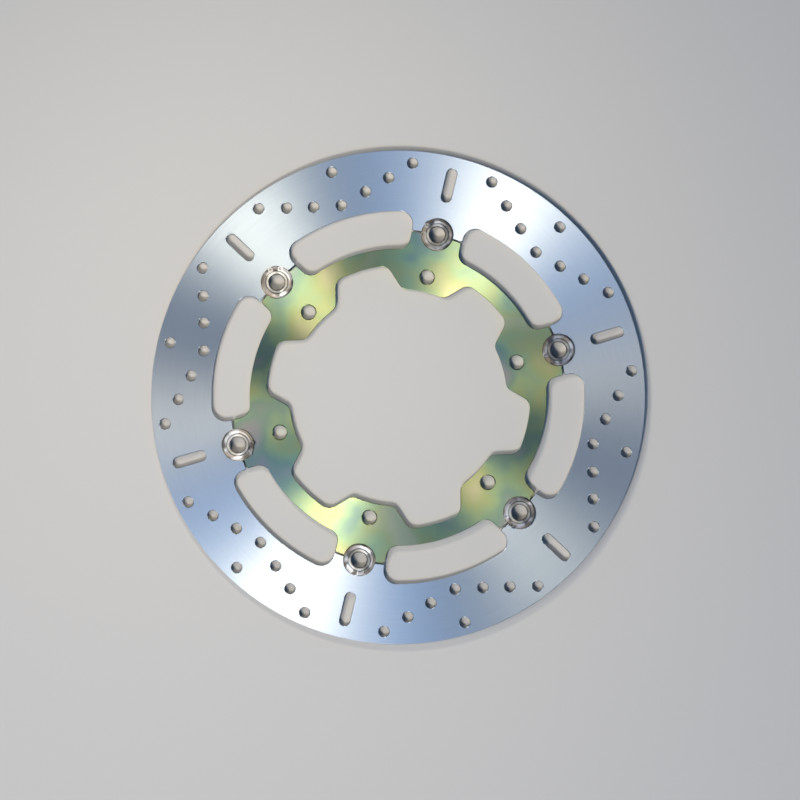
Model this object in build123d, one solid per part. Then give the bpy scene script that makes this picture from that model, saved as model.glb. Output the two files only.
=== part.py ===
from build123d import *

import os
from math import cos, pi, radians, sin

# Floating brake disc rotor for a motorcycle front wheel: a drilled friction ring, driven by a flat hub
# carrier through six hollow bobbins. Each bobbin sits in a round seat, half in the ring and half in the
# carrier, and is held from the front by a wave washer, a flat washer and an external circlip.
#
# Millimetres. The origin is the centre of the bolt circle on the hub side of the carrier. +Z points out
# of the front face, and bobbin 1 lies on +X. Radii are measured from the Z axis unless a name says more.

# Layout
BOBBINS = 6
PITCH = 360.0 / BOBBINS
THICKNESS = 5.0
SEAM_R = 101.5  # circle on which ring and carrier meet, and on which the bobbins sit
SEAM_GAP = 1.0
SPOT_R = 10.2  # the seats are spot-faced front and back, for the washers and the bobbin's flange
SPOT_DEPTH = 0.15
EDGE_BREAK = 0.3  # chamfer on every outline edge
CORNER_R = 0.9  # corners beside the seam

# Friction ring
RING_OUTER_R = 150.0
RING_INNER_R = 113.3  # between the tabs
TAB_HALF_WIDTH = 15.8
TAB_FILLET = 8.0
HOLE_R = 3.25
# Drilled holes of one sector: degrees away from the middle of the sector, and radius.
SINGLE_HOLE_RADII = (121.5, 142.5)
PAIRED_HOLES = ((7.5, 126.5), (14.0, 133.5), (20.0, 142.5))
SLOT_WIDTH = 6.4
SLOT_INNER_R = 121.8
SLOT_OUTER_R = 142.7

# Hub carrier
BAND_OUTER_R = 90.2
BAND_INNER_R = 80.2
EAR_HALF_WIDTH = 15.4
EAR_FILLET = 7.0
LOBE_TIP_R = 66.0
LOBE_TIP_HALF_WIDTH = 13.2
LOBE_SIDE_ANGLE = 44.0  # degrees between a lobe's side and its tip
LOBE_TIP_FILLET = 5.5
LOBE_ROOT_FILLET = 7.0
BOLT_CIRCLE_R = 75.0
BOLT_HOLE_R = 4.25
BOLT_HOLE_CHAMFER = 0.6  # on the front only

# Bobbin
BARREL_R = 7.0
SEAT_CLEARANCE = 0.05
BORE_R = 4.75
FLANGE_R = 9.75
FLANGE_THICKNESS = 1.4
FLOAT_CLEARANCE = 0.2  # between the flange and the spot-faced back of the disc
END_Z = 8.15
END_CHAMFER = 0.5
GROOVE_R = 6.7
GROOVE_WIDTH = 1.1

# Wave washer, flat washer and circlip, stacked on the spot-faced front in that order
STACK_GAP = 0.02
WASHER_INNER_R = 7.2
WAVES = 3
WAVE_OUTER_R = 9.85
WAVE_HEIGHT = 0.8
WAVE_SHEET = 0.3
POINTS_PER_WAVE = 8
FLAT_OUTER_R = 9.5
FLAT_THICKNESS = 0.6
FLAT_EDGE = 0.1
CLIP_THICKNESS = 1.0
CLIP_EDGE = 0.12
CLIP_INNER_R = 6.75
CLIP_OUTER_R = 8.6
CLIP_OFFSET = 0.35  # the outer edge is eccentric, widest opposite the gap
CLIP_GAP_HALF_ANGLE = 9.0
LUG_ANGLE = 21.0  # each lug hole, away from the middle of the gap
LUG_HOLE_CENTRE_R = 8.55
LUG_HOLE_R = 0.85
LUG_R = 1.5
CLIP_TURN = (205.0, 80.0, 320.0, 150.0, 20.0, 260.0)  # where each gap points, from the bobbin's radial line

WAVE_Z = THICKNESS - SPOT_DEPTH + STACK_GAP
FLAT_Z = WAVE_Z + WAVE_HEIGHT + STACK_GAP
CLIP_Z = FLAT_Z + FLAT_THICKNESS + STACK_GAP
GROOVE_Z = CLIP_Z + (CLIP_THICKNESS - GROOVE_WIDTH) / 2


def at(angle, radius):
    """A place in the disc plane, turned so that its own X points away from the centre."""
    return Rot(0, 0, angle) * Pos(radius, 0, 0)


LINES = [number * PITCH for number in range(BOBBINS)]
SEATS = [at(angle, SEAM_R) * Circle(BARREL_R + SEAT_CLEARANCE) for angle in LINES]


def bar(half_width, inner_r, outer_r):
    """A bar along each bobbin line."""
    middle = (inner_r + outer_r) / 2
    return [at(angle, middle) * Rectangle(outer_r - inner_r, 2 * half_width) for angle in LINES]


def corners(sketch, radius):
    """The sketch's vertices on a circle about the centre."""
    return sketch.vertices().filter_by(lambda v: abs(Vector(v).length - radius) < 1e-3)


def plate(outline):
    """The outline as a plate of the disc's thickness, with broken edges and spot-faced seats."""
    solid = extrude(outline, THICKNESS)
    faces = solid.faces().filter_by(Axis.Z)
    solid = chamfer(faces.edges(), EDGE_BREAK)
    spot = Cylinder(SPOT_R, 2 * SPOT_DEPTH)
    return solid - [at(angle, SEAM_R) * Pos(0, 0, z) * spot for angle in LINES for z in (0, THICKNESS)]


def friction_ring():
    seam_r = SEAM_R + SEAM_GAP / 2
    outline = Circle(RING_OUTER_R) - Circle(RING_INNER_R)
    outline += bar(TAB_HALF_WIDTH, BAND_OUTER_R, RING_INNER_R + TAB_FILLET)
    outline -= Circle(seam_r)
    outline = fillet(corners(outline, RING_INNER_R), TAB_FILLET)
    outline = fillet(corners(outline, seam_r), CORNER_R)
    outline -= SEATS

    slot_length = SLOT_OUTER_R - SLOT_INNER_R
    slot_middle = (SLOT_OUTER_R + SLOT_INNER_R) / 2
    outline -= [at(angle, slot_middle) * SlotOverall(slot_length, SLOT_WIDTH) for angle in LINES]
    for line in LINES:
        middle = line + PITCH / 2
        places = [at(middle, radius) for radius in SINGLE_HOLE_RADII]
        for side in (-1, 1):
            places += [at(middle + side * angle, radius) for angle, radius in PAIRED_HOLES]
        outline -= [place * Circle(HOLE_R) for place in places]
    return plate(outline)


def lobe():
    """One inward lobe, on +X, with straight sides that open out to the band."""
    tip_x = (LOBE_TIP_R**2 - LOBE_TIP_HALF_WIDTH**2) ** 0.5
    root_x = BAND_INNER_R + EDGE_BREAK
    spread = (root_x - tip_x) / sin(radians(LOBE_SIDE_ANGLE)) * cos(radians(LOBE_SIDE_ANGLE))
    root_half_width = LOBE_TIP_HALF_WIDTH + spread
    inside_x = LOBE_TIP_R - 5  # inside the circle that cuts the tip
    sides = Polygon(
        (inside_x, -LOBE_TIP_HALF_WIDTH),
        (tip_x, -LOBE_TIP_HALF_WIDTH),
        (root_x, -root_half_width),
        (root_x, root_half_width),
        (tip_x, LOBE_TIP_HALF_WIDTH),
        (inside_x, LOBE_TIP_HALF_WIDTH),
        align=None,
    )
    return sides - Circle(LOBE_TIP_R)


def carrier():
    seam_r = SEAM_R - SEAM_GAP / 2
    outline = Circle(BAND_OUTER_R) - Circle(BAND_INNER_R)
    outline += bar(EAR_HALF_WIDTH, BAND_INNER_R + EDGE_BREAK, SEAM_R)
    outline &= Circle(seam_r)
    outline += [Rot(0, 0, angle) * lobe() for angle in LINES]
    outline = fillet(corners(outline, BAND_OUTER_R), EAR_FILLET)
    outline = fillet(corners(outline, seam_r), CORNER_R)
    outline = fillet(corners(outline, BAND_INNER_R), LOBE_ROOT_FILLET)
    outline = fillet(corners(outline, LOBE_TIP_R), LOBE_TIP_FILLET)
    outline -= SEATS
    solid = plate(outline)

    bolt_hole = Cylinder(BOLT_HOLE_R, 3 * THICKNESS)
    solid -= [at(angle, BOLT_CIRCLE_R) * bolt_hole for angle in LINES]
    rims = solid.edges().filter_by(GeomType.CIRCLE).filter_by(lambda e: abs(e.radius - BOLT_HOLE_R) < 1e-3)
    return chamfer(rims.group_by(Axis.Z)[-1], BOLT_HOLE_CHAMFER)


def bobbin():
    """The hollow drive bobbin: a flange behind the disc, a barrel through it and a groove in front."""
    flange_top = SPOT_DEPTH - FLOAT_CLEARANCE
    flange_bottom = flange_top - FLANGE_THICKNESS
    groove_top = GROOVE_Z + GROOVE_WIDTH
    profile = Polygon(
        (BORE_R + EDGE_BREAK, flange_bottom),
        (FLANGE_R - EDGE_BREAK, flange_bottom),
        (FLANGE_R, flange_bottom + EDGE_BREAK),
        (FLANGE_R, flange_top),
        (BARREL_R, flange_top),
        (BARREL_R, GROOVE_Z),
        (GROOVE_R, GROOVE_Z),
        (GROOVE_R, groove_top),
        (BARREL_R, groove_top),
        (BARREL_R, END_Z - END_CHAMFER),
        (BARREL_R - END_CHAMFER, END_Z),
        (BORE_R + END_CHAMFER, END_Z),
        (BORE_R, END_Z - END_CHAMFER),
        (BORE_R, flange_bottom + EDGE_BREAK),
        align=None,
    )
    return revolve(Plane.XZ * profile, Axis.Z)


def wavy_circle(radius, middle_z):
    """A closed curve round the bobbin whose height follows a cosine, with WAVES crests."""
    amplitude = (WAVE_HEIGHT - WAVE_SHEET) / 2
    count = WAVES * POINTS_PER_WAVE
    turns = [2 * pi * number / count for number in range(count)]
    points = [
        (radius * cos(turn), radius * sin(turn), middle_z + amplitude * cos(WAVES * turn))
        for turn in turns
    ]
    return Edge.make_spline(points, periodic=True)


def wave_washer():
    """Four wavy edges with a ruled face between each and the next."""
    middle_z = WAVE_Z + WAVE_HEIGHT / 2
    low_z = middle_z - WAVE_SHEET / 2
    high_z = middle_z + WAVE_SHEET / 2
    section = (
        (WASHER_INNER_R, low_z),
        (WAVE_OUTER_R, low_z),
        (WAVE_OUTER_R, high_z),
        (WASHER_INNER_R, high_z),
    )
    edges = [wavy_circle(radius, height) for radius, height in section]
    faces = [Face.make_surface_from_curves(edge, edges[number - 1]) for number, edge in enumerate(edges)]
    return Solid(Shell(faces))


def flat_washer():
    ring = extrude(Circle(FLAT_OUTER_R) - Circle(WASHER_INNER_R), FLAT_THICKNESS)
    return Pos(0, 0, FLAT_Z) * chamfer(ring.faces().filter_by(Axis.Z).edges(), FLAT_EDGE)


def circlip():
    """An external circlip with its gap on +X, and a lug with a plier hole each side of the gap."""
    lugs = [at(side * LUG_ANGLE, LUG_HOLE_CENTRE_R) for side in (-1, 1)]
    outline = Pos(-CLIP_OFFSET, 0, 0) * Circle(CLIP_OUTER_R)
    outline += [lug * Circle(LUG_R) for lug in lugs]
    outline -= Circle(CLIP_INNER_R)
    reach = 2 * CLIP_OUTER_R
    half_gap = reach * sin(radians(CLIP_GAP_HALF_ANGLE))
    outline -= Polygon((0, 0), (reach, -half_gap), (reach, half_gap), align=None)
    outline -= [lug * Circle(LUG_HOLE_R) for lug in lugs]
    clip = extrude(outline, CLIP_THICKNESS)
    return Pos(0, 0, CLIP_Z) * chamfer(clip.faces().filter_by(Axis.Z).edges(), CLIP_EDGE)


def save(solid, node):
    export_step(solid, f"parts/{node}.step")


def main():
    os.makedirs("parts", exist_ok=True)
    save(friction_ring(), "friction_ring")
    save(carrier(), "carrier")
    pieces = {"bobbin": bobbin(), "wave_washer": wave_washer(), "flat_washer": flat_washer()}
    clip = circlip()
    for number, (angle, turn) in enumerate(zip(LINES, CLIP_TURN), start=1):
        place = at(angle, SEAM_R)
        for name, piece in pieces.items():
            save(place * piece, f"{name}_{number}")
        save(place * Rot(0, 0, turn) * clip, f"circlip_{number}")


main()
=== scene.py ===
import math

import bpy
from mathutils import Matrix, Vector

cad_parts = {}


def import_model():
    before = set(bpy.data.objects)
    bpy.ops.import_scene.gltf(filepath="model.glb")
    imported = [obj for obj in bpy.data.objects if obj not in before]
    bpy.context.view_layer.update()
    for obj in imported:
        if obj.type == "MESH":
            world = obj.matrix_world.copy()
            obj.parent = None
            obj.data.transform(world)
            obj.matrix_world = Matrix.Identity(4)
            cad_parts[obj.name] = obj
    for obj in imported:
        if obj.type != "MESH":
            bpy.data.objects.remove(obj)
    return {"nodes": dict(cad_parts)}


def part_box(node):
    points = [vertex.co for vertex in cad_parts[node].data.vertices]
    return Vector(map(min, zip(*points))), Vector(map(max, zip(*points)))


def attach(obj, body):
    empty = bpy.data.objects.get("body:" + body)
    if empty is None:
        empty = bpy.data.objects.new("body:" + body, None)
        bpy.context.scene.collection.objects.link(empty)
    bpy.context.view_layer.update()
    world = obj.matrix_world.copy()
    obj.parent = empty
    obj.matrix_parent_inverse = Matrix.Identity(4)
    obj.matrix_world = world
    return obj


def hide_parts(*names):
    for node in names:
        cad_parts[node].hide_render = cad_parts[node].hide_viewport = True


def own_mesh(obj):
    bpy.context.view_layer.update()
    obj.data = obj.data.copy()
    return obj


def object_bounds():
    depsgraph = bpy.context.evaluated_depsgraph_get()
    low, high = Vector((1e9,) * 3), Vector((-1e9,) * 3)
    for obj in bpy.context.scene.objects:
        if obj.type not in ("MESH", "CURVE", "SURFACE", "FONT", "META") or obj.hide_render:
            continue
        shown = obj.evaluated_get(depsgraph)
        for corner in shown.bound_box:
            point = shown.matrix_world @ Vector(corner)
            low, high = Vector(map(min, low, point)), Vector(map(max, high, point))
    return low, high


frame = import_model()
cad_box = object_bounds()

# The picture: how the disc sits in it
PICTURE_WIDTH = 0.4858  # metres across at the front face
DISC_OFFSET = (-0.0011, 0.0016)  # the disc's centre, right of and above the picture's middle
DISC_TURN = 16.5  # degrees from the picture's right to bobbin 1, anticlockwise
CAMERA_HEIGHT = 3.2
SENSOR = 36.0
FLOOR_SIZE = 12.0

BOBBINS = 6

FRONT_FACE_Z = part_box("carrier")[1].z
FLOOR_Z = cad_box[0].z


def toward(picture_angle, zenith, distance):
    """A point over the disc, at an angle as seen in the picture and a zenith angle, both in degrees."""
    around = math.radians(picture_angle - DISC_TURN)
    up = math.radians(zenith)
    return Vector((
        distance * math.sin(up) * math.cos(around),
        distance * math.sin(up) * math.sin(around),
        distance * math.cos(up),
    ))


# Node helpers ---------------------------------------------------------------------------------------

class Shader:
    """A material whose nodes are made one call at a time, each from the sockets of earlier ones."""

    def __init__(self, name, **constants):
        self.material = bpy.data.materials.new(name)
        self.material.use_nodes = True
        self.nodes = self.material.node_tree.nodes
        self.links = self.material.node_tree.links
        self.surface = self.nodes["Principled BSDF"]
        for socket, value in constants.items():
            self.surface.inputs[socket.replace("_", " ")].default_value = value

    def node(self, kind, *values, output=0, **settings):
        made = self.nodes.new(kind)
        for key, value in settings.items():
            setattr(made, key, value)
        for index, value in enumerate(values):
            self.put(made.inputs[index], value)
        return made.outputs[output]

    def put(self, socket, value):
        if isinstance(value, bpy.types.NodeSocket):
            self.links.new(value, socket)
        elif value is not None:
            socket.default_value = value

    def math(self, operation, *values):
        return self.node("ShaderNodeMath", *values, operation=operation)

    def combine(self, x, y, z):
        return self.node("ShaderNodeCombineXYZ", x, y, z)

    def noise(self, vector, scale, detail=2.0, roughness=0.5):
        made = self.nodes.new("ShaderNodeTexNoise")
        self.links.new(vector, made.inputs["Vector"])
        made.inputs["Scale"].default_value = scale
        made.inputs["Detail"].default_value = detail
        made.inputs["Roughness"].default_value = roughness
        return made.outputs["Fac"]

    def ramp(self, factor, *stops):
        """Stops are (place, value), where a value is a grey or an (r, g, b)."""
        made = self.nodes.new("ShaderNodeValToRGB")
        elements = made.color_ramp.elements
        while len(elements) < len(stops):
            elements.new(0.5)
        for element, (place, value) in zip(elements, stops):
            rgb = value if isinstance(value, tuple) else (value,) * 3
            element.position = place
            element.color = (*rgb, 1.0)
        self.links.new(factor, made.inputs["Fac"])
        return made.outputs["Color"]

    def mix(self, factor, a, b):
        made = self.nodes.new("ShaderNodeMix")
        made.data_type = "RGBA"
        self.put(made.inputs[0], factor)
        for socket, value in ((made.inputs[6], a), (made.inputs[7], b)):
            self.put(socket, (*value, 1.0) if isinstance(value, tuple) else value)
        return made.outputs[2]

    def spread(self, factor, low, high):
        """The factor, 0 to 1, mapped to low to high."""
        return self.node("ShaderNodeMapRange", factor, 0.0, 1.0, low, high)

    def bump(self, height, distance, strength):
        made = self.nodes.new("ShaderNodeBump")
        made.inputs["Strength"].default_value = strength
        made.inputs["Distance"].default_value = distance
        self.links.new(height, made.inputs["Height"])
        return made.outputs["Normal"]

    def finish(self, color, roughness, normal, tangent=None):
        for name, value in (("Base Color", color), ("Roughness", roughness), ("Normal", normal)):
            self.put(self.surface.inputs[name], value)
        if tangent is not None:
            self.put(self.surface.inputs["Tangent"], tangent)
        return self.material


def place(shader):
    """The point on the object, in metres, as a vector and as x, y, z."""
    vector = shader.node("ShaderNodeTexCoord", output=3)
    parts = shader.node("ShaderNodeSeparateXYZ", vector).node.outputs
    return vector, parts[0], parts[1], parts[2]


def facing_up(shader):
    """1 on faces that look along the axis, 0 on side walls."""
    normal = shader.node("ShaderNodeTexCoord", output=1)
    z = shader.node("ShaderNodeSeparateXYZ", normal).node.outputs[2]
    return shader.math("GREATER_THAN", shader.math("ABSOLUTE", z), 0.5)


def turned(shader, x, y, per_metre, around):
    """Coordinates that run quickly with the radius and slowly round the axis, as turned grain does."""
    squares = shader.math("POWER", x, 2.0), shader.math("POWER", y, 2.0)
    radius = shader.math("SQRT", shader.math("ADD", *squares))
    along_x = shader.math("MULTIPLY", shader.math("DIVIDE", x, radius), around)
    along_y = shader.math("MULTIPLY", shader.math("DIVIDE", y, radius), around)
    return shader.combine(shader.math("MULTIPLY", radius, per_metre), along_x, along_y)


def radial_tangent(shader):
    return shader.node("ShaderNodeTangent", direction_type="RADIAL", axis="Z")


# Materials ------------------------------------------------------------------------------------------

def ground_stainless():
    """Stainless steel, ground in circles about the axis, tinted blue as a painted reflection, with its
    side walls painted darker as shade over a sawn-looking grain.
    """
    s = Shader("ground_stainless", Metallic=1.0, Anisotropic=1.0, Anisotropic_Rotation=0.25)
    point, x, y, z = place(s)
    face = facing_up(s)
    fine = s.noise(turned(s, x, y, 7000.0, 5.0), 1.0, 3.0, 0.6)
    coarse = s.noise(turned(s, x, y, 900.0, 2.0), 1.0, 2.0)
    cloud = s.noise(point, 22.0, 3.0)
    wall = s.noise(s.combine(s.math("MULTIPLY", x, 900.0), s.math("MULTIPLY", y, 900.0), z), 1.0, 2.0)

    # The face's blue tint is a painted reflection of a blue surround; the grain and cloud noise vary
    # the steel's tone.
    face_tone_and_reflection = s.mix(s.ramp(fine, (0.3, 0.0), (0.7, 1.0)), (0.50, 0.565, 0.66), (0.58, 0.645, 0.74))
    face_tone_and_reflection = s.mix(s.spread(cloud, 0.0, 0.5), face_tone_and_reflection, (0.60, 0.66, 0.735))
    # Painted shade: side walls of holes and windows get a darker colour so the hollows look shadowed;
    # the noise gives them a sawn grain.
    wall_painted_shade = s.mix(wall, (0.28, 0.30, 0.32), (0.42, 0.44, 0.46))
    color = s.mix(face, wall_painted_shade, face_tone_and_reflection)

    rough = s.math("ADD", s.spread(coarse, 0.42, 0.50), s.spread(fine, -0.02, 0.02))
    rough = s.math("ADD", rough, s.math("MULTIPLY", s.math("SUBTRACT", 1.0, face), -0.1))
    height = s.mix(face, wall, fine)
    return s.finish(color, rough, s.bump(height, 0.000012, 0.35), radial_tangent(s))


# Zinc passivate takes its colour from the thickness of its film. From thin to thick:
FILM = (
    (0.32, (0.45, 0.42, 0.25)),  # straw
    (0.42, (0.35, 0.38, 0.18)),  # olive
    (0.50, (0.28, 0.38, 0.22)),  # yellow-green
    (0.58, (0.20, 0.30, 0.24)),  # teal
    (0.68, (0.30, 0.29, 0.30)),  # mauve grey
)


def passivated_steel():
    """Turned steel under iridescent zinc passivate, whose film drifts in thickness in soft patches."""
    s = Shader("passivated_steel", Metallic=1.0, Anisotropic=1.0, Anisotropic_Rotation=0.25)
    point, x, y, z = place(s)
    fine = s.noise(turned(s, x, y, 5000.0, 5.0), 1.0, 3.0, 0.6)
    patches = s.noise(point, 26.0, 2.0)
    cloud = s.noise(s.combine(y, z, x), 60.0, 2.0)
    color = s.ramp(s.math("ADD", patches, s.spread(cloud, -0.1, 0.1)), *FILM)
    color = s.mix(s.spread(fine, 0.0, 0.12), color, (0.42, 0.46, 0.36))
    rough = s.math("ADD", s.spread(cloud, 0.37, 0.42), s.spread(fine, -0.02, 0.02))
    return s.finish(color, rough, s.bump(fine, 0.000012, 0.3), radial_tangent(s))


def small_steel(name, dark, light, tint, rough, anisotropy):
    """The steel of the bobbins and of the washers and clips on them, with stains of old passivate."""
    s = Shader(name, Metallic=1.0, Anisotropic=anisotropy, Anisotropic_Rotation=0.25)
    point = place(s)[0]
    local = s.node("ShaderNodeTexCoord", output=0)
    middle = s.node("ShaderNodeVectorMath", local, (0.5, 0.5, 0.5), operation="SUBTRACT")
    parts = s.node("ShaderNodeSeparateXYZ", middle).node.outputs
    grain = s.noise(turned(s, parts[0], parts[1], 90.0, 1.5), 1.0, 3.0, 0.6)
    stain = s.noise(point, 150.0, 1.0)
    patina = s.noise(s.node("ShaderNodeVectorMath", point, (0.3, 0.7, 0.0)), 110.0, 1.0)
    color = s.mix(s.ramp(stain, (0.42, 0.0), (0.57, 1.0)), dark, light)
    color = s.mix(s.ramp(patina, (0.45, 0.0), (0.65, 0.8)), color, tint)
    color = s.mix(s.spread(grain, 0.0, 0.35), color, tuple(0.5 * c for c in dark))
    roughness = s.math("ADD", s.spread(stain, rough - 0.05, rough + 0.05), s.spread(grain, -0.04, 0.04))
    return s.finish(color, roughness, s.bump(grain, 0.00001, 0.4), radial_tangent(s))


def paper_floor():
    s = Shader("paper_floor", Metallic=0.0, Roughness=0.8)
    point = place(s)[0]
    fibre = s.noise(point, 900.0, 3.0)
    color = s.mix(fibre, (0.590, 0.560, 0.541), (0.606, 0.576, 0.556))
    return s.finish(color, s.spread(fibre, 0.75, 0.85), s.bump(fibre, 0.00002, 0.2))


# name: dark, light, tint, roughness, anisotropy
SMALL_STEELS = {
    "bobbin_steel": ((0.15, 0.15, 0.15), (0.50, 0.49, 0.48), (0.26, 0.24, 0.20), 0.38, 0.4),
    "washer_steel": ((0.10, 0.09, 0.09), (0.42, 0.41, 0.43), (0.24, 0.20, 0.14), 0.46, 0.6),
    "wave_steel": ((0.05, 0.04, 0.03), (0.18, 0.16, 0.14), (0.12, 0.08, 0.05), 0.40, 0.3),
    "clip_steel": ((0.12, 0.11, 0.11), (0.66, 0.66, 0.68), (0.28, 0.24, 0.22), 0.38, 0.5),
}
MATERIALS = {
    "friction_ring": ground_stainless(),
    "carrier": passivated_steel(),
    "bobbin": small_steel("bobbin_steel", *SMALL_STEELS["bobbin_steel"]),
    "flat_washer": small_steel("washer_steel", *SMALL_STEELS["washer_steel"]),
    "wave_washer": small_steel("wave_steel", *SMALL_STEELS["wave_steel"]),
    "circlip": small_steel("clip_steel", *SMALL_STEELS["clip_steel"]),
}
for node, piece in frame["nodes"].items():
    kind = node.rstrip("0123456789_")
    piece.data.materials.clear()
    piece.data.materials.append(MATERIALS[kind])


# Springs --------------------------------------------------------------------------------------------

def wave_spring(number):
    """A copy of the wave washer under its flat washer, attached to its bobbin set's body in place of
    the hidden CAD part.
    """
    node = f"wave_washer_{number}"
    washer = bpy.data.objects.new(f"wave_spring_{number}", frame["nodes"][node].data.copy())
    bpy.context.scene.collection.objects.link(washer)
    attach(washer, f"bobbin_set_{number}")
    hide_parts(node)
    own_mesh(washer)


for number in range(1, BOBBINS + 1):
    wave_spring(number)


# Stage ----------------------------------------------------------------------------------------------

def floor():
    half = FLOOR_SIZE / 2
    mesh = bpy.data.meshes.new("floor")
    corners = [(-half, -half, 0), (half, -half, 0), (half, half, 0), (-half, half, 0)]
    mesh.from_pydata(corners, [], [(0, 1, 2, 3)])
    made = bpy.data.objects.new("floor", mesh)
    made.location.z = FLOOR_Z
    bpy.context.scene.collection.objects.link(made)
    mesh.materials.append(paper_floor())


def softbox(name, picture_angle, zenith, distance, width, height, power, color):
    """An area light that looks at the disc. Its width lies across the picture angle."""
    light = bpy.data.lights.new(name, "AREA")
    light.shape = "RECTANGLE"
    light.size = width
    light.size_y = height
    light.energy = power
    light.color = color
    made = bpy.data.objects.new(name, light)
    made.location = toward(picture_angle, zenith, distance)
    made.rotation_euler = made.location.to_track_quat("Z", "Y").to_euler()
    made.visible_camera = False
    bpy.context.scene.collection.objects.link(made)


def world(stops):
    """A plain studio whose colour changes with height.

    Stops are (height, colour), from 0 at the horizon to 1 overhead.
    """
    made = bpy.data.worlds.new("studio")
    made.use_nodes = True
    nodes, links = made.node_tree.nodes, made.node_tree.links
    split = nodes.new("ShaderNodeSeparateXYZ")
    links.new(nodes.new("ShaderNodeTexCoord").outputs["Generated"], split.inputs[0])
    ramp = nodes.new("ShaderNodeValToRGB")
    elements = ramp.color_ramp.elements
    while len(elements) < len(stops):
        elements.new(0.5)
    for element, (height, color) in zip(elements, stops):
        element.position = height
        element.color = (*color, 1.0)
    links.new(split.outputs["Z"], ramp.inputs["Fac"])
    links.new(ramp.outputs["Color"], nodes["Background"].inputs["Color"])
    bpy.context.scene.world = made


def camera():
    lens = bpy.data.cameras.new("camera")
    lens.sensor_width = SENSOR
    lens.lens = SENSOR * (CAMERA_HEIGHT - FRONT_FACE_Z) / PICTURE_WIDTH
    lens.clip_end = 100.0
    made = bpy.data.objects.new("camera", lens)
    turn = math.radians(-DISC_TURN)
    aim = Matrix.Rotation(turn, 3, "Z") @ Vector((-DISC_OFFSET[0], -DISC_OFFSET[1], 0.0))
    made.location = (aim.x, aim.y, CAMERA_HEIGHT)
    made.rotation_euler = (0.0, 0.0, turn)
    bpy.context.scene.collection.objects.link(made)
    bpy.context.scene.camera = made


floor()
world((
    (0.0, (0.62, 0.65, 0.68)),
    (0.15, (0.50, 0.54, 0.58)),
    (0.40, (0.07, 0.10, 0.14)),
    (1.0, (0.035, 0.14, 0.32)),
))
softbox("key", 241.0, 24.0, 1.8, 0.24, 0.26, 15.0, (1.0, 0.87, 0.63))
softbox("halo", 241.0, 25.0, 1.6, 1.10, 0.50, 7.2, (0.38, 0.62, 1.0))
softbox("second", 130.8, 25.0, 0.44, 0.07, 0.09, 0.53, (1.0, 0.92, 0.72))
softbox("third", 186.5, 25.0, 1.1, 0.16, 0.16, 1.60, (1.0, 0.86, 0.62))
camera()
bpy.context.scene.view_settings.view_transform = "Standard"
